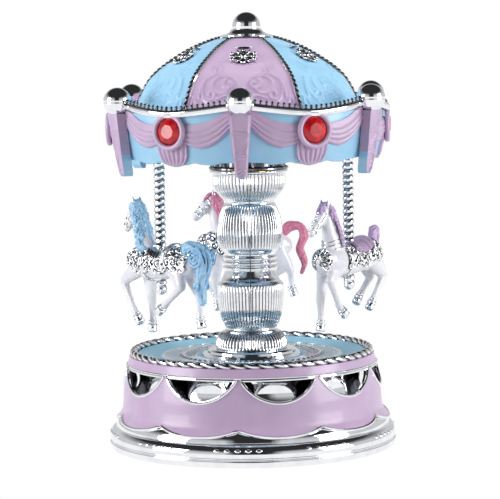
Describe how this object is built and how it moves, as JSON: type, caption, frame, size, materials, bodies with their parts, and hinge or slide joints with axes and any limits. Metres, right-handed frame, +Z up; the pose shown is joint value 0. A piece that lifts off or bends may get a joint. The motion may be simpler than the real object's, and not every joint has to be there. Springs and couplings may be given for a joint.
{
  "type": "carousel music box",
  "caption": "Wind-up carousel music box: painted and plated round base, ornate column, scalloped canopy with ball finials and gems, and horses on twisted poles that turn with the canopy.",
  "frame": {"origin": "centre of the foot's underside, on the axis of the column", "axes": "+Z up the column; the front of the box, as displayed, faces -Y; +X is to the right seen from the front"},
  "size_m": [0.11, 0.1188, 0.165],
  "materials": {
    "chrome_plate": "bright vacuum-plated plastic",
    "dark_chrome": "shaded plated plastic",
    "lilac_paint": "satin lilac paint",
    "canopy_panels": "satin paint, lilac and sky-blue panels in turn",
    "sky_paint": "satin sky-blue paint",
    "pearl_white": "pearl white",
    "blue_hair": "pearl blue paint",
    "lilac_hair": "pearl lilac paint",
    "pink_hair": "pearl pink paint",
    "red_gem": "faceted red acrylic",
    "brass": "plain",
    "steel": "plain",
    "cover_plastic": "moulded",
    "nylon": "moulded"
  },
  "bodies": {
    "base": {"foot_ring": "chrome_plate", "drum_shell": "lilac_paint", "swag_liner": "chrome_plate", "swag_trims": "chrome_plate", "rope_rim": "chrome_plate", "deck_dish": "sky_paint", "deck_lace": "chrome_plate", "column_pedestal": "chrome_plate", "column_left_shell": "chrome_plate", "column_right_shell": "chrome_plate", "column_top_collar": "dark_chrome", "lower_bush": "brass", "upper_bush": "brass", "bottom_cover": "cover_plastic", "cover_screws": "steel", "movement_bedplate": "brass", "bedplate_screws": "steel", "spring_housing": "brass", "mainspring": "steel", "comb": "steel", "comb_screws": "steel", "cylinder_bracket": "brass", "governor_bracket": "brass"},
    "carousel": {"canopy_valance": "sky_paint", "canopy_dome": "canopy_panels", "canopy_ceiling": "sky_paint", "canopy_hub": "sky_paint", "hub_screw": "steel", "pole_sockets": "nylon", "rim_band": "chrome_plate", "seam_beads": "chrome_plate", "ball_finials": "chrome_plate", "gems": "red_gem", "gem_bezels": "lilac_paint", "tassels": "lilac_paint", "finial_pedestal": "chrome_plate", "finial_ball": "chrome_plate", "drive_shaft": "steel", "winding_arbor": "steel", "winding_key": "steel", "crown_wheel": "brass"},
    "cylinder": {"note_cylinder": "brass", "cylinder_arbor": "brass"},
    "train": {"train_wheel": "brass"},
    "governor": {"governor_worm": "nylon"},
    "left_horse": {"left_horse_pole": "chrome_plate", "left_horse_body": "pearl_white", "left_horse_hair": "blue_hair", "left_horse_harness": "chrome_plate"},
    "right_horse": {"right_horse_pole": "chrome_plate", "right_horse_body": "pearl_white", "right_horse_hair": "lilac_hair", "right_horse_harness": "chrome_plate"},
    "back_horse": {"back_horse_pole": "chrome_plate", "back_horse_body": "pearl_white", "back_horse_hair": "pink_hair", "back_horse_harness": "chrome_plate"}
  },
  "joints": [
    {"name": "carousel_spin", "type": "hinge", "parent": "base", "child": "carousel", "pos_m": [0, 0, 0.11], "axis": [0, 0, 1], "continuous": true},
    {"name": "cylinder_spin", "type": "hinge", "parent": "base", "child": "cylinder", "pos_m": [0.024, 0, 0.0242], "axis": [1, 0, 0], "continuous": true},
    {"name": "train_spin", "type": "hinge", "parent": "base", "child": "train", "pos_m": [0.034, 0.01, 0.0242], "axis": [1, 0, 0], "continuous": true},
    {"name": "governor_spin", "type": "hinge", "parent": "base", "child": "governor", "pos_m": [0.033, 0.0178, 0.02], "axis": [0, 0, 1], "continuous": true},
    {"name": "left_horse_swivel", "type": "hinge", "parent": "carousel", "child": "left_horse", "pos_m": [-0.0333, -0.02358, 0.08], "axis": [0, 0, 1], "range_deg": [-250, 60]},
    {"name": "right_horse_swivel", "type": "hinge", "parent": "carousel", "child": "right_horse", "pos_m": [0.03707, -0.01705, 0.08], "axis": [0, 0, 1], "range_deg": [-235, 80]},
    {"name": "back_horse_swivel", "type": "hinge", "parent": "carousel", "child": "back_horse", "pos_m": [-0.00377, 0.04063, 0.08], "axis": [0, 0, 1], "range_deg": [-65, 250]}
  ],
  "couplings": [
    {"joint": "cylinder_spin", "follows": "carousel_spin", "ratio": 3.75},
    {"joint": "train_spin", "follows": "carousel_spin", "ratio": -11.25},
    {"joint": "governor_spin", "follows": "carousel_spin", "ratio": 135}
  ]
}
